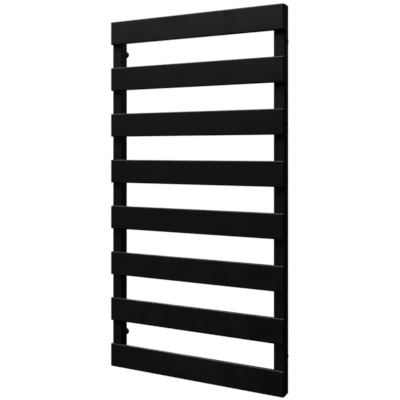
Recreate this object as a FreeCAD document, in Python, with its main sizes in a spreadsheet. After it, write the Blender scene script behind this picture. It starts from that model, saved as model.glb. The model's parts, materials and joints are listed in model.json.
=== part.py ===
import FreeCAD, Part
import math
import os
import re
import Sketcher

# A wall-hung hot-water towel radiator. Eight flat steel slats are welded in front of two upright
# collectors. Four pins on the backs of the collectors slide into four cups that screw to the wall.
#
# Frame: millimetres, +X to the right, +Y into the wall, +Z up. The origin is the centre of the four
# wall holes, on the plane of the wall, so the radiator lies wholly at negative Y.

DRIVING_DIMENSIONS = (
    ("rail_height", 1050, "height of the radiator"),
    ("rail_width", 550, "width of the radiator"),
    ("wall_gap", 22, "clear space between the collectors and the wall"),
    ("slat_count", 8, "number of slats"),
    ("slat_face", 70, "height of a slat"),
    ("slat_depth", 11, "depth of a slat"),
    ("slat_wall", 1.5, "wall of the slat tube"),
    ("slat_edge", 3, "outer edge radius of the slat tube"),
    ("end_plate", 3, "thickness of the plates that close slats and collectors"),
    ("end_rounding", 2.5, "rounding around the outside of a slat's end plate"),
    ("collector_width", 32, "width of a collector"),
    ("collector_depth", 32, "depth of a collector"),
    ("collector_wall", 2, "wall of the collector tube"),
    ("collector_edge", 3, "outer edge radius of the collector tube"),
    ("water_port", 12, "diameter of the water holes between slat and collector"),
    ("nipple_bore", 9, "bore of a water nipple"),
    ("nipple_flange", 15, "diameter of a nipple's flange"),
    ("nipple_flange_plate", 1, "thickness of a nipple's flange"),
    ("nipple_reach", 4, "how far a nipple reaches past the front of the collector"),
    ("weld_clearance", 0.05, "radial clearance of a nipple in its holes"),
    ("bracket_rise", 865, "vertical distance between the upper and lower wall holes"),
    ("cup_diameter", 20, "diameter of a wall cup"),
    ("cup_length", 21, "length of a wall cup"),
    ("cup_floor", 5, "thickness of the cup's floor at the wall"),
    ("cup_chamfer", 0.8, "chamfer on the front rim of the cup"),
    ("cup_foot_chamfer", 2, "chamfer on the rim of the cup at the wall"),
    ("wall_hole", 5, "screw hole through the cup's floor"),
    ("screw_head", 9, "countersink for the head of the wall screw"),
    ("pin_diameter", 10, "diameter of a bracket pin"),
    ("pin_length", 14, "length of a bracket pin"),
    ("pin_chamfer", 1, "chamfer on the tip of a pin"),
    ("pin_clearance", 0.1, "radial clearance of a pin in its cup"),
    ("grub_diameter", 5, "tapped hole for the grub screw"),
    ("grub_length", 4, "length of the grub screw"),
    ("grub_setback", 17, "distance of the grub screw from the wall"),
    ("grub_gap", 0.4, "space between the tip of the grub screw and the pin"),
    ("grub_key", 2.5, "hexagon key for the grub screw"),
    ("grub_key_depth", 2, "depth of the grub screw's key recess"),
    ("grub_chamfer", 0.6, "chamfer on the tip of the grub screw"),
    ("thread_clearance", 0.05, "radial clearance of a plain screw in its tapped hole"),
    ("port_bore", 18.6, "core diameter of the G 1/2 pipe thread"),
    ("port_depth", 15, "length of the threaded port, end plate included"),
    ("port_boss", 25, "outer diameter of the port behind the end plate"),
    ("port_chamfer", 1, "chamfer at the mouth of an open port"),
    ("seal_seat", 23, "diameter of the seat for a plug's sealing ring"),
    ("seal_seat_depth", 2, "depth of that seat"),
    ("seal_ring", 20.8, "diameter of the sealing ring, to the middle of its section"),
    ("seal_section", 2, "diameter of the sealing ring's section"),
    ("plug_flange", 24, "diameter of a plug's flange"),
    ("plug_flange_plate", 2, "thickness of a plug's flange"),
    ("plug_rounding", 0.6, "chamfer around the top of a plug's flange"),
    ("plug_shank", 12, "length of a plug below its flange"),
    ("plug_clearance", 0.1, "radial clearance of a plug in its port"),
    ("plug_key", 12, "hexagon key for the plugs"),
    ("plug_key_depth", 5, "depth of a plug's key recess"),
    ("bleed_thread", 6, "tapped hole for the bleed screw"),
    ("bleed_length", 7, "length of the bleed screw below its collar"),
    ("bleed_collar", 9, "diameter of the bleed screw's collar"),
    ("bleed_collar_plate", 1, "thickness of the bleed screw's collar"),
    ("bleed_head", 5, "square head of the bleed screw, across the flats"),
    ("bleed_head_height", 2.7, "height of the square head"),
    ("bleed_slot", 1, "width of the slot in the head and of the air groove in the thread"),
    ("bleed_slot_depth", 1.2, "depth of the slot"),
    ("air_groove_depth", 0.8, "depth of the air groove along the thread"),
    ("washer_bore", 6.4, "bore of the bleed screw's sealing washer"),
    ("washer_plate", 0.8, "thickness of that washer"),
)
ALIASES = {alias for alias, _, _ in DRIVING_DIMENSIONS}
SLAT_COUNT = dict((alias, value) for alias, value, _ in DRIVING_DIMENSIONS)["slat_count"]
SIDES = {"left": -1, "right": 1}
LEVELS = {"bottom": -1, "top": 1}

# Places that several pieces share, as formulas of the sheet.
SLAT_PITCH = "(rail_height - slat_face) / (slat_count - 1)"
TOP_SLAT_Z = "(rail_height - slat_face) / 2"
SLAT_Y = "-(wall_gap + collector_depth + slat_depth / 2)"
WELD_Y = "-(wall_gap + collector_depth)"
COLLECTOR_X = "(rail_width - collector_width) / 2"
COLLECTOR_Y = "-(wall_gap + collector_depth / 2)"
KEY_FLOOR = "(plug_flange_plate - plug_key_depth)"
COLLAR_BASE = f"({KEY_FLOOR} + washer_plate + thread_clearance)"

document = FreeCAD.newDocument("TowelRadiator")


def fill_sheet():
    """Write the driving dimensions to the sheet, one row each: value, then meaning."""
    sheet = document.addObject("Spreadsheet::Sheet", "Dimensions")
    for row, (alias, value, meaning) in enumerate(DRIVING_DIMENSIONS, start=1):
        sheet.set(f"A{row}", str(value))
        sheet.setAlias(f"A{row}", alias)
        sheet.set(f"B{row}", meaning)
    document.recompute()


def bind(item, property_name, formula):
    """Drive a property by a formula in which the sheet's cells go by their aliases."""
    def with_sheet(word):
        return f"Dimensions.{word.group()}" if word.group() in ALIASES else word.group()
    item.setExpression(property_name, re.sub(r"\w+", with_sheet, formula))


def place(piece, x="0", y="0", z="0", turn=0):
    """Put a piece where the three formulas say, turned by so many degrees about the vertical."""
    upright = FreeCAD.Vector(0, 0, 1)
    piece.Placement = FreeCAD.Placement(FreeCAD.Vector(), FreeCAD.Rotation(upright, turn))
    for axis, formula in (("x", x), ("y", y), ("z", z)):
        bind(piece, f"Placement.Base.{axis}", formula)
    return piece


# --- sketches -------------------------------------------------------------------------------------

def datum(body, role):
    """One of the body's own origin planes or axes, such as XY_Plane or Z_Axis."""
    return next(item for item in body.Origin.OriginFeatures if item.Role == role)


def new_sketch(body, name, role, offset="0"):
    """Start a sketch on an origin plane of the body, raised by a formula along its normal."""
    sketch = body.newObject("Sketcher::SketchObject", f"{body.Name}_{name}")
    sketch.AttachmentSupport = (datum(body, role), "")
    sketch.MapMode = "FlatFace"
    bind(sketch, "AttachmentOffset.Base.z", offset)
    return sketch


def constrain(sketch, name, constraint, formula):
    """Add a dimension and drive it by a formula."""
    index = sketch.addConstraint(constraint)
    sketch.renameConstraint(index, name)
    bind(sketch, f"Constraints.{name}", formula)


def draw_outline(sketch, corners):
    """Close a polygon through corners that are given as pairs of formulas."""
    count = len(corners)
    step = 2 * math.pi / count
    start = [FreeCAD.Vector(math.cos(i * step + 0.1), math.sin(i * step + 0.1), 0) for i in range(count)]
    lines = [Part.LineSegment(start[i], start[(i + 1) % count]) for i in range(count)]
    sketch.addGeometry(lines, False)
    for i in range(count):
        sketch.addConstraint(Sketcher.Constraint("Coincident", i, 2, (i + 1) % count, 1))
    for i, (across, up) in enumerate(corners):
        on_upright_axis = Sketcher.Constraint("PointOnObject", i, 1, -2)
        on_level_axis = Sketcher.Constraint("PointOnObject", i, 1, -1)
        if across == "0":
            sketch.addConstraint(on_upright_axis)
        else:
            distance = Sketcher.Constraint("DistanceX", -1, 1, i, 1, start[i].x)
            constrain(sketch, f"across_{i}", distance, across)
        if up == "0":
            sketch.addConstraint(on_level_axis)
        else:
            distance = Sketcher.Constraint("DistanceY", -1, 1, i, 1, start[i].y)
            constrain(sketch, f"up_{i}", distance, up)


def draw_round_rectangle(sketch, name, width, height, radius):
    """Close a centred rectangle with round corners. It starts as a square, and its sizes follow."""
    reach = 20
    flat = 18
    first = sketch.GeometryCount
    lines = []
    arcs = []
    for quarter in range(4):
        turn = FreeCAD.Rotation(FreeCAD.Vector(0, 0, 1), 90 * quarter)
        ends = [turn.multVec(FreeCAD.Vector(x, -reach, 0)) for x in (-flat, flat)]
        lines.append(Part.LineSegment(*ends))
        corner = Part.Circle(turn.multVec(FreeCAD.Vector(flat, -flat, 0)), FreeCAD.Vector(0, 0, 1), reach - flat)
        begin = math.radians(90 * (quarter - 1))
        arcs.append(Part.ArcOfCircle(corner, begin, begin + math.pi / 2))
    sketch.addGeometry(lines + arcs, False)
    line = range(first, first + 4)
    arc = range(first + 4, first + 8)
    for i in range(4):
        sketch.addConstraint(Sketcher.Constraint("Tangent", line[i], 2, arc[i], 1))
        sketch.addConstraint(Sketcher.Constraint("Tangent", arc[i], 2, line[(i + 1) % 4], 1))
        sketch.addConstraint(Sketcher.Constraint("Vertical" if i % 2 else "Horizontal", line[i]))
    for i in range(1, 4):
        sketch.addConstraint(Sketcher.Constraint("Equal", arc[0], arc[i]))
    sketch.addConstraint(Sketcher.Constraint("Symmetric", arc[3], 3, arc[1], 3, -1, 1))
    wide = Sketcher.Constraint("DistanceX", line[3], 1, line[1], 1, 2.0 * reach)
    high = Sketcher.Constraint("DistanceY", line[0], 1, line[2], 1, 2.0 * reach)
    constrain(sketch, f"{name}_width", wide, width)
    constrain(sketch, f"{name}_height", high, height)
    constrain(sketch, f"{name}_radius", Sketcher.Constraint("Radius", arc[0], 1.0 * (reach - flat)), radius)


def draw_circle(sketch, diameter, across="0", up="0"):
    """Draw a circle whose centre stands at two formulas."""
    start = FreeCAD.Vector(1, 1, 0)
    sketch.addGeometry(Part.Circle(start, FreeCAD.Vector(0, 0, 1), 1), False)
    if across == "0":
        sketch.addConstraint(Sketcher.Constraint("PointOnObject", 0, 3, -2))
    else:
        constrain(sketch, "across", Sketcher.Constraint("DistanceX", -1, 1, 0, 3, start.x), across)
    if up == "0":
        sketch.addConstraint(Sketcher.Constraint("PointOnObject", 0, 3, -1))
    else:
        constrain(sketch, "up", Sketcher.Constraint("DistanceY", -1, 1, 0, 3, start.y), up)
    constrain(sketch, "diameter", Sketcher.Constraint("Diameter", 0, 2.0), diameter)


def hexagon(across_flats):
    """Corners of a hexagon, turned so that none of them lies on an axis."""
    reach = f"{across_flats} / 2 / cos(30 deg)"
    return [(f"{reach} * cos({turn} deg)", f"{reach} * sin({turn} deg)") for turn in range(15, 375, 60)]


def rectangle(width, height):
    """Corners of a centred rectangle."""
    return [(f"{x} * {width} / 2", f"{y} * {height} / 2") for x, y in ((-1, -1), (1, -1), (1, 1), (-1, 1))]


# --- features -------------------------------------------------------------------------------------

def new_body(label):
    body = document.addObject("PartDesign::Body", label)
    body.Label = label
    return body


def pad(body, name, sketch, length, **settings):
    """Raise a sketch into a solid."""
    feature = body.newObject("PartDesign::Pad", f"{body.Name}_{name}")
    feature.Profile = sketch
    bind(feature, "Length", length)
    for setting, value in settings.items():
        setattr(feature, setting, value)
    return feature


def pocket(body, name, sketch, length, **settings):
    """Cut a sketch out of the body and make sure that it did cut."""
    document.recompute()
    before = body.Shape.Volume
    feature = body.newObject("PartDesign::Pocket", f"{body.Name}_{name}")
    feature.Profile = sketch
    bind(feature, "Length", length)
    for setting, value in settings.items():
        setattr(feature, setting, value)
    document.recompute()
    if body.Shape.Volume >= before:
        raise RuntimeError(f"{feature.Name} cut nothing")
    return feature


def turn_profile(body, name, role, axis, corners):
    """Turn an outline round an axis of the body into a solid."""
    sketch = new_sketch(body, f"{name}_profile", role)
    draw_outline(sketch, corners)
    feature = body.newObject("PartDesign::Revolution", f"{body.Name}_{name}")
    feature.Profile = sketch
    feature.ReferenceAxis = (datum(body, axis), [""])
    feature.Angle = 360
    return feature


def bore_profile(body, name, corners):
    """Turn an outline round the body's Z axis and take it away."""
    document.recompute()
    before = body.Shape.Volume
    sketch = new_sketch(body, f"{name}_profile", "XZ_Plane")
    draw_outline(sketch, corners)
    feature = body.newObject("PartDesign::Groove", f"{body.Name}_{name}")
    feature.Profile = sketch
    feature.ReferenceAxis = (datum(body, "Z_Axis"), [""])
    feature.Angle = 360
    document.recompute()
    if body.Shape.Volume >= before:
        raise RuntimeError(f"{feature.Name} cut nothing")


def repeat_per_slat(body, feature):
    """Repeat a feature upwards, once for each slat."""
    pattern = body.newObject("PartDesign::LinearPattern", f"{body.Name}_per_slat")
    pattern.Originals = [feature]
    pattern.Direction = (datum(body, "Z_Axis"), [""])
    pattern.Mode = "Spacing"
    bind(pattern, "Offset", SLAT_PITCH)
    bind(pattern, "Occurrences", "slat_count")
    body.Tip = pattern


# --- slats ----------------------------------------------------------------------------------------

def slat_z(number):
    """Height of a slat's centre, counted from 1 at the top."""
    return f"{TOP_SLAT_Z} - {number - 1} * {SLAT_PITCH}"


def make_slat(number):
    """A flat tube with a water hole through its back wall over each collector."""
    body = new_body(f"slat_{number}")
    section = new_sketch(body, "section", "YZ_Plane")
    draw_round_rectangle(section, "outer", "slat_depth", "slat_face", "slat_edge")
    draw_round_rectangle(section, "inner", "slat_depth - 2 * slat_wall", "slat_face - 2 * slat_wall",
                         "slat_edge - slat_wall")
    pad(body, "tube", section, "rail_width - 2 * end_plate", SideType="Symmetric")
    for side, sign in SIDES.items():
        hole = new_sketch(body, f"{side}_hole", "XZ_Plane")
        draw_circle(hole, "water_port", across=f"{sign} * {COLLECTOR_X}")
        pocket(body, f"{side}_port", hole, "slat_depth")
    return place(body, y=SLAT_Y, z=slat_z(number))


def make_slat_end(number, side):
    """The plate that closes one end of a slat, welded on and ground round."""
    body = new_body(f"slat_{number}_end_{side}")
    outline = new_sketch(body, "outline", "YZ_Plane")
    draw_round_rectangle(outline, "outer", "slat_depth", "slat_face", "slat_edge")
    plate = pad(body, "plate", outline, "end_plate")
    document.recompute()
    outside = plate.Shape.BoundBox.XMax
    rim = [f"Edge{i}" for i, edge in enumerate(plate.Shape.Edges, start=1)
           if edge.BoundBox.XMin > outside - 0.01]
    rounding = body.newObject("PartDesign::Fillet", f"{body.Name}_rounding")
    rounding.Base = (plate, rim)
    bind(rounding, "Radius", "end_rounding")
    sign = SIDES[side]
    turn = 0 if side == "right" else 180
    return place(body, x=f"{sign} * (rail_width / 2 - end_plate)", y=SLAT_Y, z=slat_z(number), turn=turn)


# --- collectors -----------------------------------------------------------------------------------

def make_collector(side):
    """An upright tube with a water hole in its front wall behind each slat."""
    body = new_body(f"collector_{side}")
    section = new_sketch(body, "section", "XY_Plane")
    draw_round_rectangle(section, "outer", "collector_width", "collector_depth", "collector_edge")
    draw_round_rectangle(section, "inner", "collector_width - 2 * collector_wall",
                         "collector_depth - 2 * collector_wall", "collector_edge - collector_wall")
    pad(body, "tube", section, "rail_height - 2 * end_plate", SideType="Symmetric")
    hole = new_sketch(body, "hole", "XZ_Plane")
    draw_circle(hole, "water_port", up=f"-{TOP_SLAT_Z}")
    port = pocket(body, "port", hole, "collector_depth", Reversed=True)
    repeat_per_slat(body, port)
    return place(body, x=f"{SIDES[side]} * {COLLECTOR_X}", y=COLLECTOR_Y)


def make_nipples(side):
    """One flanged ferrule per slat. It lines up the two water holes and is brazed into both."""
    body = new_body(f"water_nipples_{side}")
    barrel_radius = "(water_port / 2 - weld_clearance)"
    ferrule = turn_profile(body, "ferrule", "YZ_Plane", "Y_Axis", [
        ("-slat_wall - nipple_flange_plate", "nipple_bore / 2"),
        ("-slat_wall - nipple_flange_plate", "nipple_flange / 2"),
        ("-slat_wall", "nipple_flange / 2"),
        ("-slat_wall", barrel_radius),
        ("nipple_reach", barrel_radius),
        ("nipple_reach", "nipple_bore / 2"),
    ])
    document.recompute()
    repeat_per_slat(body, ferrule)
    return place(body, x=f"{SIDES[side]} * {COLLECTOR_X}", y=WELD_Y, z=f"-{TOP_SLAT_Z}")


def place_at_port(piece, level, side, z="0"):
    """Put a piece on the axis of a port, measured from the outer face of the collector's end.

    A piece at the bottom is turned upside down, so that its own +Z always points out of the port.
    """
    outer_face = f"{LEVELS[level]} * rail_height / 2"
    place(piece, x=f"{SIDES[side]} * {COLLECTOR_X}", y=COLLECTOR_Y, z=f"{outer_face} + {z}")
    if level == "bottom":
        piece.Placement.Rotation = FreeCAD.Rotation(FreeCAD.Vector(1, 0, 0), 180)
    return piece


def make_port_socket(level, side):
    """The plate that closes one end of a collector, with a threaded boss on its inside."""
    body = new_body(f"port_socket_{level}_{side}")
    outline = new_sketch(body, "outline", "XY_Plane")
    draw_round_rectangle(outline, "outer", "collector_width", "collector_depth", "collector_edge")
    pad(body, "plate", outline, "end_plate", Reversed=True)
    circle = new_sketch(body, "boss_circle", "XY_Plane")
    draw_circle(circle, "port_boss")
    pad(body, "boss", circle, "port_depth", Reversed=True)
    below = [("port_bore / 2", "-port_depth"), ("0", "-port_depth"), ("0", "0")]
    if level == "top":
        mouth = [("seal_seat / 2", "0"), ("seal_seat / 2", "-seal_seat_depth"),
                 ("port_bore / 2", "-seal_seat_depth")]
    else:
        mouth = [("port_bore / 2 + port_chamfer", "0"), ("port_bore / 2", "-port_chamfer")]
    bore_profile(body, "bore", mouth + below)
    return place_at_port(body, level, side)


# --- plugs and bleed screw ------------------------------------------------------------------------

def plug_profile(inner_radius):
    """Outline of a plug: a shank in the port and a thin flange on top, with a chamfered rim."""
    shank_radius = "(port_bore / 2 - plug_clearance)"
    return [
        (inner_radius, "-plug_shank"),
        (shank_radius, "-plug_shank"),
        (shank_radius, "0"),
        ("plug_flange / 2", "0"),
        ("plug_flange / 2", "plug_flange_plate - plug_rounding"),
        ("plug_flange / 2 - plug_rounding", "plug_flange_plate"),
        (inner_radius, "plug_flange_plate"),
    ]


def make_plug(label, side, inner_radius):
    """A plug with a hexagon recess. A zero inner radius makes it blank."""
    body = new_body(label)
    turn_profile(body, "turned", "XZ_Plane", "Z_Axis", plug_profile(inner_radius))
    recess = new_sketch(body, "recess", "XY_Plane", offset="plug_flange_plate")
    draw_outline(recess, hexagon("plug_key"))
    pocket(body, "key_recess", recess, "plug_key_depth")
    return place_at_port(body, "top", side)


def make_seal_ring(label, side):
    """The rubber ring under a plug's flange."""
    ring = document.addObject("Part::Torus", label)
    ring.Label = label
    bind(ring, "Radius1", "seal_ring / 2")
    bind(ring, "Radius2", "seal_section / 2")
    return place_at_port(ring, "top", side, z="-seal_section / 2")


def make_bleed_washer(side):
    """The flat washer that the bleed screw's collar presses on the floor of the key recess."""
    body = new_body("bleed_washer")
    turn_profile(body, "ring", "XZ_Plane", "Z_Axis", [
        ("washer_bore / 2", KEY_FLOOR),
        ("bleed_collar / 2", KEY_FLOOR),
        ("bleed_collar / 2", f"{KEY_FLOOR} + washer_plate"),
        ("washer_bore / 2", f"{KEY_FLOOR} + washer_plate"),
    ])
    return place_at_port(body, "top", side)


def make_bleed_screw(side):
    """The screw that lets air out: a thread with an air groove, a collar and a slotted square head."""
    body = new_body("bleed_screw")
    thread_radius = "(bleed_thread / 2 - thread_clearance)"
    turn_profile(body, "turned", "XZ_Plane", "Z_Axis", [
        ("0", f"{COLLAR_BASE} - bleed_length"),
        (thread_radius, f"{COLLAR_BASE} - bleed_length"),
        (thread_radius, COLLAR_BASE),
        ("bleed_collar / 2", COLLAR_BASE),
        ("bleed_collar / 2", f"{COLLAR_BASE} + bleed_collar_plate"),
        ("0", f"{COLLAR_BASE} + bleed_collar_plate"),
    ])
    head_base = f"({COLLAR_BASE} + bleed_collar_plate)"
    square = new_sketch(body, "square", "XY_Plane", offset=head_base)
    draw_outline(square, rectangle("bleed_head", "bleed_head"))
    pad(body, "head", square, "bleed_head_height")
    slot = new_sketch(body, "slot", "XY_Plane", offset=f"{head_base} + bleed_head_height")
    draw_outline(slot, rectangle("2 * bleed_head", "bleed_slot"))
    pocket(body, "driver_slot", slot, "bleed_slot_depth")
    groove = new_sketch(body, "groove", "XY_Plane", offset=COLLAR_BASE)
    draw_outline(groove, [
        (f"{thread_radius} - air_groove_depth", "-bleed_slot / 2"),
        ("bleed_thread", "-bleed_slot / 2"),
        ("bleed_thread", "bleed_slot / 2"),
        (f"{thread_radius} - air_groove_depth", "bleed_slot / 2"),
    ])
    pocket(body, "air_groove", groove, "bleed_length")
    return place_at_port(body, "top", side)


# --- wall brackets --------------------------------------------------------------------------------

def place_at_bracket(piece, level, side, y="0", z="0"):
    """Put a piece on the axis of a bracket, at a distance from the wall and from that axis."""
    return place(piece, x=f"{SIDES[side]} * {COLLECTOR_X}", y=y,
                 z=f"{LEVELS[level]} * bracket_rise / 2 + {z}")


def make_bracket_pin(level, side):
    """The pin welded to the back of a collector."""
    body = new_body(f"bracket_pin_{level}_{side}")
    turn_profile(body, "pin", "YZ_Plane", "Y_Axis", [
        ("0", "0"),
        ("0", "pin_diameter / 2"),
        ("pin_length - pin_chamfer", "pin_diameter / 2"),
        ("pin_length", "pin_diameter / 2 - pin_chamfer"),
        ("pin_length", "0"),
    ])
    return place_at_bracket(body, level, side, y="-wall_gap")


def make_wall_cup(level, side):
    """The round cup that screws to the wall and holds the pin."""
    body = new_body(f"wall_cup_{level}_{side}")
    bore_radius = "(pin_diameter / 2 + pin_clearance)"
    turn_profile(body, "turned", "YZ_Plane", "Y_Axis", [
        ("0", "wall_hole / 2"),
        ("0", "cup_diameter / 2 - cup_foot_chamfer"),
        ("-cup_foot_chamfer", "cup_diameter / 2"),
        ("-cup_length + cup_chamfer", "cup_diameter / 2"),
        ("-cup_length", "cup_diameter / 2 - cup_chamfer"),
        ("-cup_length", bore_radius),
        ("-cup_floor", bore_radius),
        ("-cup_floor", "screw_head / 2"),
        ("-cup_floor + (screw_head - wall_hole) / 2", "wall_hole / 2"),
    ])
    hole = new_sketch(body, "grub_circle", "XY_Plane")
    draw_circle(hole, "grub_diameter", up="-grub_setback")
    pocket(body, "grub_hole", hole, "cup_diameter")
    return place_at_bracket(body, level, side)


def make_grub_screw(level, side):
    """The set screw under a cup that clamps the pin. Its own +Z points at the pin."""
    body = new_body(f"grub_screw_{level}_{side}")
    radius = "(grub_diameter / 2 - thread_clearance)"
    turn_profile(body, "turned", "XZ_Plane", "Z_Axis", [
        ("0", "-grub_length"),
        (radius, "-grub_length"),
        (radius, "-grub_chamfer"),
        (f"{radius} - grub_chamfer", "0"),
        ("0", "0"),
    ])
    recess = new_sketch(body, "recess", "XY_Plane", offset="-grub_length")
    draw_outline(recess, hexagon("grub_key"))
    pocket(body, "key_recess", recess, "grub_key_depth", Reversed=True)
    return place_at_bracket(body, level, side, y="-grub_setback", z="-(pin_diameter / 2 + grub_gap)")


# --- assembly -------------------------------------------------------------------------------------

def make_radiator():
    pieces = [make_slat(number) for number in range(1, SLAT_COUNT + 1)]
    for number in range(1, SLAT_COUNT + 1):
        pieces += [make_slat_end(number, side) for side in SIDES]
    for side in SIDES:
        pieces.append(make_collector(side))
        pieces.append(make_nipples(side))
        for level in LEVELS:
            pieces.append(make_port_socket(level, side))
            pieces.append(make_bracket_pin(level, side))
    pieces.append(make_plug("vent_plug", "right", "bleed_thread / 2"))
    pieces.append(make_seal_ring("vent_plug_seal", "right"))
    pieces.append(make_bleed_washer("right"))
    pieces.append(make_bleed_screw("right"))
    pieces.append(make_plug("blank_plug", "left", "0"))
    pieces.append(make_seal_ring("blank_plug_seal", "left"))
    return pieces


def make_wall_brackets():
    pieces = []
    for level in LEVELS:
        for side in SIDES:
            pieces.append(make_wall_cup(level, side))
            pieces.append(make_grub_screw(level, side))
    return pieces


def check(pieces):
    """Stop on anything that failed to compute or is not a sound solid."""
    for item in document.Objects:
        if {"Invalid", "Error"} & set(item.State):
            raise RuntimeError(f"{item.Name} did not compute: {item.State}")
    for piece in pieces:
        if piece.Shape.isNull() or not piece.Shape.isValid() or not piece.Shape.Solids:
            raise RuntimeError(f"{piece.Label} is not a valid solid")


def write(pieces):
    os.makedirs("parts", exist_ok=True)
    for piece in pieces:
        piece.Shape.exportStep(f"parts/{piece.Label}.step")
        box = piece.Shape.BoundBox
        spans = ", ".join(f"{low:.2f} to {high:.2f}" for low, high in
                          ((box.XMin, box.XMax), (box.YMin, box.YMax), (box.ZMin, box.ZMax)))
        print(f"{piece.Label}: {len(piece.Shape.Solids)} solid(s), {piece.Shape.Volume:.0f} mm3, {spans}")


fill_sheet()
all_pieces = make_radiator() + make_wall_brackets()
document.recompute()
check(all_pieces)
write(all_pieces)
print(f"{len(all_pieces)} pieces")
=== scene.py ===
# %% [markdown]
# # A black towel radiator, finished and lit
#
# On the real object, eight flat steel slats are welded in front of two upright collector tubes that
# carry hot water, and four round brackets hold the frame off the wall. Nearly everything you see has
# one coat of satin black powder.
#
# The shapes come from a CAD model, in metres, and they stay as they are. This lesson adds what a CAD
# model leaves out: the finish of each metal, the weld beads, the pipe threads, and a small studio.

# %% Load the model
import json
import math

import bmesh
import bpy
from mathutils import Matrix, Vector


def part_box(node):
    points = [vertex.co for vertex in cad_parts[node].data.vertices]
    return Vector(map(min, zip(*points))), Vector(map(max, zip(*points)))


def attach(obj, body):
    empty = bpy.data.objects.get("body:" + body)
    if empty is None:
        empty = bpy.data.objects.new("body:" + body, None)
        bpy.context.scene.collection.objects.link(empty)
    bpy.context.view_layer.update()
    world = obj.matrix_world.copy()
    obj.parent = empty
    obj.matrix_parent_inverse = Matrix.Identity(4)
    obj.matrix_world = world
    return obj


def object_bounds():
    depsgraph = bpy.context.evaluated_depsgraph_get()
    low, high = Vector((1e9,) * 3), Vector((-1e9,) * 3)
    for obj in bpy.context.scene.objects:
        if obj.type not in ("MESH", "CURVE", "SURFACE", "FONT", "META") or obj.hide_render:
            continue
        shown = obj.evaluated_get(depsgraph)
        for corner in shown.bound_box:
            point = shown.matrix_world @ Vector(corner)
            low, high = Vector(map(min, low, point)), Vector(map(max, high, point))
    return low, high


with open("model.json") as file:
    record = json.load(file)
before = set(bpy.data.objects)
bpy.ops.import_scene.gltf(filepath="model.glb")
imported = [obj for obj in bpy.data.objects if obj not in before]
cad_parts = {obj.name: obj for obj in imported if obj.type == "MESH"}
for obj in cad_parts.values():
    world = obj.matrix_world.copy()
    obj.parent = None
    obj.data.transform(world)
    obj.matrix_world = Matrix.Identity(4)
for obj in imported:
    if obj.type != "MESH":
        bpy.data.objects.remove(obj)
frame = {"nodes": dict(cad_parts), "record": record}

MM = 0.001
CAD_LOW, CAD_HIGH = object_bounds()
print("CAD model, mm:", [round(side / MM) for side in CAD_HIGH - CAD_LOW])

# %% [markdown]
# ## Camera
#
# A studio shoots a tall product with a level camera, because a tilted one makes its uprights lean
# together. The lens is shifted down instead, until the whole frame is in the picture. This camera
# stands to the right at 26 degrees, 1.6 m from the wall and a little above the middle of the frame,
# so the upper slats are seen from below and the lower ones from above.

# %% Camera
CAMERA_PLACE = (0.7733, -1.5958, 0.1314)
CAMERA_TURN = math.radians(25.952)
LEVEL = math.radians(90)
SENSOR_WIDTH_MM = 36
LENS_MM = 54.07
LENS_SHIFT = -0.1223

camera_data = bpy.data.cameras.new("Studio camera")
camera_data.sensor_width = SENSOR_WIDTH_MM
camera_data.lens = LENS_MM
camera_data.shift_y = LENS_SHIFT
camera = bpy.data.objects.new("Studio camera", camera_data)
camera.location = CAMERA_PLACE
camera.rotation_euler = (LEVEL, 0, CAMERA_TURN)
bpy.context.collection.objects.link(camera)
bpy.context.scene.camera = camera
print("Lens, mm:", LENS_MM, "from", round(Vector(CAMERA_PLACE).length, 2), "m")

# %% [markdown]
# ## Colours and nodes
#
# Colours are written as sRGB hex values, as on a paint chart, and shaders want linear numbers, so
# one function turns one into the other. A second function adds any node, shader or geometry, with
# its settings and its links, so that each tree below reads like a recipe.

# %% Two helpers for every node tree
def linear(hex_colour):
    """An sRGB colour such as "#1a1a1b" as the linear red, green, blue and alpha of a shader."""
    channels = [int(hex_colour[start:start + 2], 16) / 255 for start in (1, 3, 5)]
    return [c / 12.92 if c <= 0.04045 else ((c + 0.055) / 1.055) ** 2.4 for c in channels] + [1.0]


def add_node(tree, kind, inputs=None, **settings):
    """Add a node, set its settings, and give each input a value or a link from another node."""
    node = tree.nodes.new(kind)
    for name, value in settings.items():
        setattr(node, name, value)
    for name, value in (inputs or {}).items():
        if isinstance(value, bpy.types.NodeSocket):
            tree.links.new(value, node.inputs[name])
        else:
            node.inputs[name].default_value = value
    return node

# %% [markdown]
# ## Backdrop and floor
#
# Black steel mirrors whatever stands round it. A studio that wants it black in front of a white
# sheet keeps the sheet's own light off it with black flags. The world does the same here: the camera
# sees white, and the steel sees a dark room. The floor is a plain white sheet, far enough below the
# radiator to look at it from underneath. It shines by itself, as a lit table does.

# %% White backdrop and dark room
ROOM_GLOW = 0.011
PAPER_GLOW = 1.0

bpy.context.scene.view_settings.view_transform = "Standard"
world = bpy.data.worlds.new("Studio")
world.use_nodes = True
bpy.context.scene.world = world
studio = world.node_tree
studio.nodes.clear()
room = add_node(studio, "ShaderNodeBackground", {"Color": linear("#ffffff"), "Strength": ROOM_GLOW})
sheet = add_node(studio, "ShaderNodeBackground", {"Color": linear("#ffffff"), "Strength": PAPER_GLOW})
seen = add_node(studio, "ShaderNodeLightPath")
backdrop = add_node(studio, "ShaderNodeMixShader", {
    0: seen.outputs["Is Camera Ray"],
    1: room.outputs[0],
    2: sheet.outputs[0],
})
add_node(studio, "ShaderNodeOutputWorld", {"Surface": backdrop.outputs[0]})
print("World:", PAPER_GLOW, "to the camera,", ROOM_GLOW, "to the steel")

# %% Floor
FLOOR_DROP = 1800 * MM
FLOOR_HALF = 6.0

floor_z = CAD_LOW.z - FLOOR_DROP
corners = [(-1, -1), (1, -1), (1, 1), (-1, 1)]
floor_mesh = bpy.data.meshes.new("studio_floor")
floor_mesh.from_pydata([(x * FLOOR_HALF, y * FLOOR_HALF, floor_z) for x, y in corners], [], [(0, 1, 2, 3)])
floor = bpy.data.objects.new("studio_floor", floor_mesh)
bpy.context.collection.objects.link(floor)
floor.visible_diffuse = False
floor.visible_glossy = False

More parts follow.
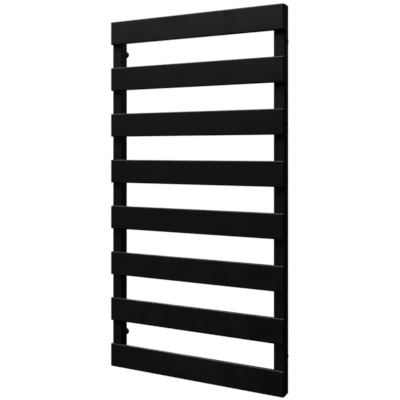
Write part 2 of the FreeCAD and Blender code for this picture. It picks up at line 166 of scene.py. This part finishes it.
paper = bpy.data.materials.new("Lit white paper")
paper.use_nodes = True
paper.node_tree.nodes.clear()
glow = add_node(paper.node_tree, "ShaderNodeEmission", {"Color": linear("#ffffff"), "Strength": PAPER_GLOW})
add_node(paper.node_tree, "ShaderNodeOutputMaterial", {"Surface": glow.outputs[0]})
floor_mesh.materials.append(paper)
print("Floor at", round(floor_z, 3), "m")

# %% [markdown]
# ## Lights
#
# Satin black shows shape only by what it reflects, so the lights are large and soft. Two softboxes
# hang high at the front left: they draw the bright line along each slat's top edge and a sheen that
# fades down the slats. Two faint fills keep the lower slats from going out. Three more stand behind,
# and the camera in front hardly sees their light: they shape the back of the frame for a viewer who
# walks round it.

# %% Softboxes
AIM = (CAD_LOW + CAD_HIGH) / 2


def softbox(name, place, width, height, glow):
    """An area light that looks at the middle of the radiator. A glow of 1 is as bright as white paper."""
    data = bpy.data.lights.new(name, "AREA")
    data.shape = "RECTANGLE"
    data.size = width
    data.size_y = height
    data.energy = glow * math.pi * width * height
    light = bpy.data.objects.new(name, data)
    light.location = place
    light.rotation_euler = (AIM - Vector(place)).to_track_quat("-Z", "Y").to_euler()
    light.visible_camera = False
    bpy.context.collection.objects.link(light)
    print(name, "at", place, "m,", round(data.energy, 1), "W")


softbox("Top softbox", (-0.95, -0.75, 2.3), width=1.8, height=1.8, glow=4.2)
softbox("High front softbox", (-0.9, -1.7, 3.0), width=1.8, height=1.8, glow=2.6)
softbox("Front fill", (-1.55, -2.35, -0.1), width=1.6, height=3.0, glow=0.085)
softbox("Low fill", (-0.75, -2.1, -1.2), width=1.8, height=1.2, glow=0.11)
softbox("Back left softbox", (-2.2, 2.2, 0.6), width=2.0, height=2.0, glow=4.0)
softbox("Back right softbox", (2.6, 1.3, 1.2), width=1.6, height=1.6, glow=0.15)
softbox("Back top softbox", (0.3, 1.6, 2.6), width=1.6, height=1.6, glow=5.0)

# %% [markdown]
# ## Satin black powder coat
#
# Powder coat is dry polyester powder, sprayed on with an electric charge and melted in an oven. It
# flows out into one thick plastic skin with a faint orange peel, about 3 mm from crest to crest,
# over a finer grain. To the eye it is a deep black with a wide, soft sheen that drifts a little
# over a hand's width, where the film is thicker or thinner. The peel and the grain are bump, the
# drift is a change of colour and roughness. All of them read Object coordinates, in metres, so a
# pattern's scale is one over its size. A real peel is only a few hundredths of a millimetre high.
# Here the peel and the grain are drawn several times as high, so that they show.

# %% Powder coat
PEEL_SIZE = 3.0 * MM
PEEL_HEIGHT = 0.12 * MM
GRAIN_SIZE = 0.6 * MM
GRAIN_HEIGHT = 0.012 * MM
DRIFT_SIZE = 55 * MM


def new_finish(name, constants):
    """A material with a Principled shader, and the settings that are the same all over it."""
    material = bpy.data.materials.new(name)
    material.use_nodes = True
    tree = material.node_tree
    shader = tree.nodes["Principled BSDF"]
    for setting, value in constants.items():
        shader.inputs[setting].default_value = value
    place = add_node(tree, "ShaderNodeTexCoord").outputs["Object"]
    return material, tree, shader, place


powder_coat, tree, shader, place = new_finish("Satin black powder coat", {
    "IOR": 1.5, "Specular IOR Level": 0.5})
drift = add_node(tree, "ShaderNodeTexNoise", {
    "Vector": place, "Scale": 1 / DRIFT_SIZE, "Detail": 3.0, "Roughness": 0.55})
thick = add_node(tree, "ShaderNodeMapRange", {
    "Value": drift.outputs["Fac"], "From Min": 0.3, "From Max": 0.7})
film = add_node(tree, "ShaderNodeMix", {
    "Factor": thick.outputs["Result"], "A": linear("#050506"), "B": linear("#1b1b1c")}, data_type="RGBA")
sheen = add_node(tree, "ShaderNodeMapRange", {
    "Value": thick.outputs["Result"], "To Min": 0.54, "To Max": 0.36})
peel = add_node(tree, "ShaderNodeTexNoise", {
    "Vector": place, "Scale": 1 / PEEL_SIZE, "Detail": 1.0, "Roughness": 0.4})
grain = add_node(tree, "ShaderNodeTexNoise", {
    "Vector": place, "Scale": 1 / GRAIN_SIZE, "Detail": 1.0, "Roughness": 0.5})
peel_bump = add_node(tree, "ShaderNodeBump", {
    "Height": peel.outputs["Fac"], "Distance": PEEL_HEIGHT, "Strength": 1.0})
grain_bump = add_node(tree, "ShaderNodeBump", {
    "Height": grain.outputs["Fac"], "Distance": GRAIN_HEIGHT, "Strength": 1.0,
    "Normal": peel_bump.outputs["Normal"]})
tree.links.new(film.outputs["Result"], shader.inputs["Base Color"])
tree.links.new(sheen.outputs["Result"], shader.inputs["Roughness"])
tree.links.new(grain_bump.outputs["Normal"], shader.inputs["Normal"])
print("Powder coat: peel", PEEL_SIZE / MM, "mm, grain", GRAIN_SIZE / MM, "mm")

# %% [markdown]
# ## Zinc plate
#
# The grub screws are steel with a bright zinc plate, a few thousandths of a millimetre thick and
# grown in a bath. To the eye it is a slightly blue metal with a fine bloom of crystals. Cells from
# a Voronoi texture stand for the crystals, and they change the tint and the gloss together.

# %% Zinc plate
BLOOM_SIZE = 0.8 * MM

zinc_plate, tree, shader, place = new_finish("Bright zinc plated steel", {"Metallic": 1.0})
bloom = add_node(tree, "ShaderNodeTexVoronoi", {"Vector": place, "Scale": 1 / BLOOM_SIZE})
tint = add_node(tree, "ShaderNodeMix", {
    "Factor": bloom.outputs["Distance"], "A": linear("#c9cdd2"), "B": linear("#a9aeb6")}, data_type="RGBA")
gloss = add_node(tree, "ShaderNodeMapRange", {
    "Value": bloom.outputs["Distance"], "From Max": 0.7, "To Min": 0.26, "To Max": 0.4})
tree.links.new(tint.outputs["Result"], shader.inputs["Base Color"])
tree.links.new(gloss.outputs["Result"], shader.inputs["Roughness"])
print("Zinc plate: bloom", BLOOM_SIZE / MM, "mm")

# %% [markdown]
# ## Bare steel
#
# The water nipples and the pipe threads are bare mild steel, cut on a machine. To the eye it is a
# warm grey metal, half matt, with a fine uneven grain from the tool.

# %% Bare steel
TOOL_GRAIN = 0.5 * MM

bare_steel, tree, shader, place = new_finish("Bare machined steel", {"Metallic": 1.0})
marks = add_node(tree, "ShaderNodeTexNoise", {
    "Vector": place, "Scale": 1 / TOOL_GRAIN, "Detail": 2.0, "Roughness": 0.6})
tint = add_node(tree, "ShaderNodeMix", {
    "Factor": marks.outputs["Fac"], "A": linear("#7d7a75"), "B": linear("#a5a29c")}, data_type="RGBA")
gloss = add_node(tree, "ShaderNodeMapRange", {
    "Value": marks.outputs["Fac"], "From Min": 0.3, "From Max": 0.7, "To Min": 0.3, "To Max": 0.45})
tree.links.new(tint.outputs["Result"], shader.inputs["Base Color"])
tree.links.new(gloss.outputs["Result"], shader.inputs["Roughness"])
print("Bare steel: grain", TOOL_GRAIN / MM, "mm")

# %% [markdown]
# ## Turned brass
#
# The bleed screw is brass, turned on a lathe. The tool leaves rings round its axis, about 0.2 mm
# apart: to the eye they are thin circles, by turns lighter and duller. A Mapping node centres the
# rings on the screw. A Wave texture draws its rings closer than its scale says, by the factor below.

# %% Turned brass
RING_PITCH = 0.2 * MM
WAVE_RINGS_PER_UNIT = 20 / (2 * math.pi)

bleed_low, bleed_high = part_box("bleed_screw")
bleed_axis = (bleed_low + bleed_high) / 2
turned_brass, tree, shader, place = new_finish("Turned brass", {"Metallic": 1.0})
centred = add_node(tree, "ShaderNodeMapping", {
    "Vector": place, "Location": (-bleed_axis.x, -bleed_axis.y, 0)})
rings = add_node(tree, "ShaderNodeTexWave", {
    "Vector": centred.outputs["Vector"],
    "Scale": 1 / (RING_PITCH * WAVE_RINGS_PER_UNIT),
    "Distortion": 0.0,
}, wave_type="RINGS", rings_direction="Z")
tint = add_node(tree, "ShaderNodeMix", {
    "Factor": rings.outputs["Fac"], "A": linear("#b8954f"), "B": linear("#d3b26c")}, data_type="RGBA")
gloss = add_node(tree, "ShaderNodeMapRange", {
    "Value": rings.outputs["Fac"], "To Min": 0.22, "To Max": 0.34})
tree.links.new(tint.outputs["Result"], shader.inputs["Base Color"])
tree.links.new(gloss.outputs["Result"], shader.inputs["Roughness"])
print("Turned brass: rings", RING_PITCH / MM, "mm apart")

# %% [markdown]
# ## PTFE and rubber
#
# The bleed screw's washer is PTFE, pressed and cut: a waxy white plastic that is a little cloudy.
# The seals under the plugs are black nitrile rubber, moulded, and matt with fine pores.

# %% PTFE and rubber
WAX_SIZE = 1.5 * MM
RUBBER_GRAIN = 0.4 * MM

ptfe, tree, shader, place = new_finish("White PTFE", {"IOR": 1.35})
wax = add_node(tree, "ShaderNodeTexNoise", {"Vector": place, "Scale": 1 / WAX_SIZE, "Detail": 2.0})
tint = add_node(tree, "ShaderNodeMix", {
    "Factor": wax.outputs["Fac"], "A": linear("#e4e0d8"), "B": linear("#f2efe9")}, data_type="RGBA")
gloss = add_node(tree, "ShaderNodeMapRange", {"Value": wax.outputs["Fac"], "To Min": 0.4, "To Max": 0.55})
tree.links.new(tint.outputs["Result"], shader.inputs["Base Color"])
tree.links.new(gloss.outputs["Result"], shader.inputs["Roughness"])

seal_rubber, tree, shader, place = new_finish("Black nitrile rubber", {"IOR": 1.52})
pores = add_node(tree, "ShaderNodeTexNoise", {"Vector": place, "Scale": 1 / RUBBER_GRAIN, "Detail": 2.0})
tint = add_node(tree, "ShaderNodeMix", {
    "Factor": pores.outputs["Fac"], "A": linear("#101010"), "B": linear("#1d1c1b")}, data_type="RGBA")
gloss = add_node(tree, "ShaderNodeMapRange", {"Value": pores.outputs["Fac"], "To Min": 0.65, "To Max": 0.85})
tree.links.new(tint.outputs["Result"], shader.inputs["Base Color"])
tree.links.new(gloss.outputs["Result"], shader.inputs["Roughness"])
print("PTFE: clouds", WAX_SIZE / MM, "mm. Rubber: pores", RUBBER_GRAIN / MM, "mm")

# %% [markdown]
# ## Painting the CAD pieces
#
# Each CAD piece arrives with a placeholder material, named after its slot in the record. Swapping
# the material in the slot paints the piece and leaves its mesh alone.

# %% Swap the placeholders
FINISHES = {
    "black_powder_coat": powder_coat,
    "zinc_plated_steel": zinc_plate,
    "bare_steel": bare_steel,
    "brass": turned_brass,
    "white_ptfe": ptfe,
    "black_rubber": seal_rubber,
}
painted = dict.fromkeys(FINISHES, 0)
for node in frame["nodes"].values():
    for material_slot in node.material_slots:
        slot_name = material_slot.material.name
        material_slot.material = FINISHES[slot_name]
        painted[slot_name] += 1
print("Painted:", painted)

# %% [markdown]
# ## Weld beads
#
# A welder joins each slat to the collectors with a bead of melted wire, laid down in small
# overlapping ripples, and then the whole frame is coated. The outer side of each joint is ground
# flush. A bead follows a path and repeats one ripple, so Geometry Nodes suit it: thin edges mark the
# seams, the tree turns them to curves, swells a round profile along them once a ripple, and rounds
# off the ends.

# %% The weld bead tree
PROFILE_SIDES = 10
STEPS_PER_RIPPLE = 5
BLUNT_START = 0.15


def new_tree(name, inputs):
    """A Geometry Nodes tree with geometry in and out, and named inputs for its sizes."""
    tree = bpy.data.node_groups.new(name, "GeometryNodeTree")
    tree.interface.new_socket("Geometry", in_out="INPUT", socket_type="NodeSocketGeometry")
    for label, kind in inputs.items():
        tree.interface.new_socket(label, in_out="INPUT", socket_type=kind)
    tree.interface.new_socket("Geometry", in_out="OUTPUT", socket_type="NodeSocketGeometry")
    return tree, tree.nodes.new("NodeGroupInput").outputs


bead_tree, given = new_tree("Weld bead", {
    "Bead radius": "NodeSocketFloat",
    "Ripple pitch": "NodeSocketFloat",
    "Ripple depth": "NodeSocketFloat",
    "End length": "NodeSocketFloat",
    "Coat": "NodeSocketMaterial",
})

# The seams become curves with a few points to each ripple.
paths = add_node(bead_tree, "GeometryNodeMeshToCurve", {"Mesh": given["Geometry"]})
step = add_node(bead_tree, "ShaderNodeMath", {
    0: given["Ripple pitch"], 1: STEPS_PER_RIPPLE}, operation="DIVIDE")
fine = add_node(bead_tree, "GeometryNodeResampleCurve", {
    "Curve": paths.outputs["Curve"], "Length": step.outputs[0]}, mode="LENGTH")

# Along each ripple the bead narrows, slowly at first, and then starts again at its full width.
along = add_node(bead_tree, "GeometryNodeSplineParameter").outputs["Length"]
ripples = add_node(bead_tree, "ShaderNodeMath", {0: along, 1: given["Ripple pitch"]}, operation="DIVIDE")
saw = add_node(bead_tree, "ShaderNodeMath", {0: ripples.outputs[0]}, operation="FRACT")
scallop = add_node(bead_tree, "ShaderNodeMath", {0: saw.outputs[0], 1: 2.0}, operation="POWER")
dip = add_node(bead_tree, "ShaderNodeMath", {
    0: scallop.outputs[0], 1: given["Ripple depth"]}, operation="MULTIPLY")
swell = add_node(bead_tree, "ShaderNodeMath", {0: 1.0, 1: dip.outputs[0]}, operation="SUBTRACT")

# Near both ends the bead is thinner, as the square root of the way in from the nearest end. It
# starts blunt, not as a needle.
total = add_node(bead_tree, "GeometryNodeSplineLength").outputs["Length"]
left = add_node(bead_tree, "ShaderNodeMath", {0: total, 1: along}, operation="SUBTRACT")
nearest = add_node(bead_tree, "ShaderNodeMath", {0: along, 1: left.outputs[0]}, operation="MINIMUM")
inside = add_node(bead_tree, "ShaderNodeMath", {
    0: nearest.outputs[0], 1: given["End length"]}, operation="DIVIDE")
rising = add_node(bead_tree, "ShaderNodeMath", {
    0: inside.outputs[0], 1: BLUNT_START}, operation="ADD", use_clamp=True)
ends = add_node(bead_tree, "ShaderNodeMath", {0: rising.outputs[0], 1: 0.5}, operation="POWER")

# A round profile of that width is swept along the seams, coated, and made plain.
shaped = add_node(bead_tree, "ShaderNodeMath", {
    0: swell.outputs[0], 1: ends.outputs[0]}, operation="MULTIPLY")
width = add_node(bead_tree, "ShaderNodeMath", {
    0: shaped.outputs[0], 1: given["Bead radius"]}, operation="MULTIPLY")
profile = add_node(bead_tree, "GeometryNodeCurvePrimitiveCircle", {
    "Resolution": PROFILE_SIDES, "Radius": 1.0})
beads = add_node(bead_tree, "GeometryNodeCurveToMesh", {
    "Curve": fine.outputs["Curve"],
    "Profile Curve": profile.outputs["Curve"],
    "Scale": width.outputs[0],
    "Fill Caps": True,
})
smooth = add_node(bead_tree, "GeometryNodeSetShadeSmooth", {"Geometry": beads.outputs["Mesh"]})
real = add_node(bead_tree, "GeometryNodeRealizeInstances", {"Geometry": smooth.outputs["Geometry"]})
coated = add_node(bead_tree, "GeometryNodeSetMaterial", {
    "Geometry": real.outputs["Geometry"], "Material": given["Coat"]})
add_node(bead_tree, "NodeGroupOutput", {"Geometry": coated.outputs["Geometry"]})
print("Weld bead tree:", len(bead_tree.nodes), "nodes")

# %% [markdown]
# ## Growing a tree into a plain mesh
#
# A tree is live: it needs a guide mesh and a modifier. What the radiator keeps is a plain mesh that
# rides on one body. So one function puts the tree on a guide, sets its sizes, copies what comes out,
# and throws the guide away. It then merges double points and turns all faces outwards.

# %% Grow
DOUBLES = 0.001 * MM


def grow(name, tree, points, edges, sizes, body):
    """Run a tree on some points and edges, and keep what it makes as a plain mesh on a body."""
    guide = bpy.data.meshes.new(name + "_guide")
    guide.from_pydata(points, edges, [])
    source = bpy.data.objects.new(name + "_guide", guide)
    bpy.context.collection.objects.link(source)
    modifier = source.modifiers.new(tree.name, "NODES")
    modifier.node_group = tree
    for socket in tree.interface.items_tree:
        if socket.name in sizes:
            modifier[socket.identifier] = sizes[socket.name]
    graph = bpy.context.evaluated_depsgraph_get()
    mesh = bpy.data.meshes.new_from_object(source.evaluated_get(graph))
    bpy.data.objects.remove(source)
    shape = bmesh.new()
    shape.from_mesh(mesh)
    bmesh.ops.remove_doubles(shape, verts=shape.verts, dist=DOUBLES)
    bmesh.ops.recalc_face_normals(shape, faces=shape.faces)
    shape.to_mesh(mesh)
    shape.free()
    mesh.name = name
    piece = bpy.data.objects.new(name, mesh)
    bpy.context.collection.objects.link(piece)
    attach(piece, body)
    spans = []
    for axis in range(3):
        places = [point.co[axis] for point in mesh.vertices]
        spans.append(round((max(places) - min(places)) / MM, 1))
    print(name, "has", len(mesh.polygons), "faces and spans", spans, "mm")

# %% [markdown]
# ## Welds between slats and collectors
#
# The welder reaches in from the gap between the collectors, so each slat has one upright bead on the
# inner side of each collector, in the corner behind the slat. It stops short of the slat's rounded
# edges. The seam lies a little inside the metal, so that only the outer half of the bead shows.

# %% Welds between slats and collectors
SLAT_COUNT = 8
SLAT_CORNER = 3 * MM
BEAD_SET_IN = 1.0 * MM

seam_points = []
seam_edges = []
for side in ("left", "right"):
    tube_low, tube_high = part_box("collector_" + side)
    inner_x = tube_high.x - BEAD_SET_IN if side == "left" else tube_low.x + BEAD_SET_IN
    for number in range(1, SLAT_COUNT + 1):
        slat_low, slat_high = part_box(f"slat_{number}")
        seam_y = slat_high.y + BEAD_SET_IN
        seam_edges.append((len(seam_points), len(seam_points) + 1))
        seam_points.append((inner_x, seam_y, slat_low.z + SLAT_CORNER))
        seam_points.append((inner_x, seam_y, slat_high.z - SLAT_CORNER))

grow("slat_welds", bead_tree, seam_points, seam_edges, {
    "Bead radius": 2.3 * MM,
    "Ripple pitch": 2.2 * MM,
    "Ripple depth": 0.16,
    "End length": 3.0 * MM,
    "Coat": powder_coat,
}, "radiator")

# %% [markdown]
# ## Welds round the bracket pins
#
# Each bracket pin stands on the back of a collector and is welded all the way round. The cup covers
# this small bead until the radiator is pulled away from the wall. It is the same tree again, on a
# closed ring of edges: a ring has no ends to round off, so its end length is next to nothing.

# %% Welds round the bracket pins
RING_STEPS = 64

ring_points = []
ring_edges = []
for side in ("left", "right"):
    for level in ("bottom", "top"):
        pin_low, pin_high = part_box(f"bracket_pin_{level}_{side}")
        pin_radius = (pin_high.x - pin_low.x) / 2
        first = len(ring_points)
        for number in range(RING_STEPS):
            angle = 2 * math.pi * number / RING_STEPS
            ring_points.append((
                (pin_low.x + pin_high.x) / 2 + pin_radius * math.cos(angle),
                pin_low.y,
                (pin_low.z + pin_high.z) / 2 + pin_radius * math.sin(angle)))
            ring_edges.append((first + number, first + (number + 1) % RING_STEPS))

grow("pin_welds", bead_tree, ring_points, ring_edges, {
    "Bead radius": 0.85 * MM,
    "Ripple pitch": 1.2 * MM,
    "Ripple depth": 0.12,
    "End length": 0.01 * MM,
    "Coat": powder_coat,
}, "radiator")

# %% [markdown]
# ## Pipe threads in the open ports
#
# The valves screw into a G 1/2 pipe thread in the lower end of each collector: 14 turns an inch, so
# 1.814 mm a turn. The ports are plugged while the frame is coated, so their threads stay bare steel.
# CAD left them as plain bores. A thread is one profile that follows a spiral, which is again a job
# for Geometry Nodes: a spiral curve, a kite-shaped ridge swept along it, and a copy in each port.
# The kite's middle lies just inside the bore's wall, so its inner half stands out as the ridge.

# %% The pipe thread tree
STEPS_PER_TURN = 40

thread_tree, given = new_tree("Pipe thread", {
    "Core radius": "NodeSocketFloat",
    "Pitch": "NodeSocketFloat",
    "Ridge height": "NodeSocketFloat",
    "Turns": "NodeSocketFloat",
    "Metal": "NodeSocketMaterial",
})
rise = add_node(thread_tree, "ShaderNodeMath", {0: given["Turns"], 1: given["Pitch"]}, operation="MULTIPLY")
spiral = add_node(thread_tree, "GeometryNodeCurveSpiral", {
    "Resolution": STEPS_PER_TURN,
    "Rotations": given["Turns"],
    "Start Radius": given["Core radius"],
    "End Radius": given["Core radius"],
    "Height": rise.outputs[0],
})
upright = add_node(thread_tree, "GeometryNodeSetCurveNormal", {
    "Curve": spiral.outputs["Curve"]}, mode="Z_UP")
half_pitch = add_node(thread_tree, "ShaderNodeMath", {0: given["Pitch"], 1: 2.0}, operation="DIVIDE")
both_sides = add_node(thread_tree, "ShaderNodeMath", {
    0: given["Ridge height"], 1: 2.0}, operation="MULTIPLY")
kite = add_node(thread_tree, "GeometryNodeCurvePrimitiveQuadrilateral", {
    "Width": both_sides.outputs[0],
    "Bottom Height": half_pitch.outputs[0],
    "Top Height": half_pitch.outputs[0],
}, mode="KITE")
ridge = add_node(thread_tree, "GeometryNodeCurveToMesh", {
    "Curve": upright.outputs["Curve"], "Profile Curve": kite.outputs["Curve"], "Fill Caps": True})
in_ports = add_node(thread_tree, "GeometryNodeInstanceOnPoints", {
    "Points": given["Geometry"], "Instance": ridge.outputs["Mesh"]})
real = add_node(thread_tree, "GeometryNodeRealizeInstances", {"Geometry": in_ports.outputs["Instances"]})
metal = add_node(thread_tree, "GeometryNodeSetMaterial", {
    "Geometry": real.outputs["Geometry"], "Material": given["Metal"]})
add_node(thread_tree, "NodeGroupOutput", {"Geometry": metal.outputs["Geometry"]})
print("Pipe thread tree:", len(thread_tree.nodes), "nodes")

# %% Threads in both ports
PIPE_PITCH = 25.4 * MM / 14
PORT_CHAMFER = 1.0 * MM
THREAD_TURNS = 7
RIDGE_SET_IN = 0.1 * MM

open_ports = [mount for mount in frame["record"]["mounts"] if mount["kind"] == "threaded_hole"]
mouths = [(port["pos_m"][0], port["pos_m"][1], CAD_LOW.z + PORT_CHAMFER) for port in open_ports]
bore_radius = open_ports[0]["dims"]["r_mm"] * MM
grow("port_threads", thread_tree, mouths, [], {
    "Core radius": bore_radius + RIDGE_SET_IN,
    "Pitch": PIPE_PITCH,
    "Ridge height": 0.7 * MM,
    "Turns": THREAD_TURNS,
    "Metal": bare_steel,
}, "radiator")
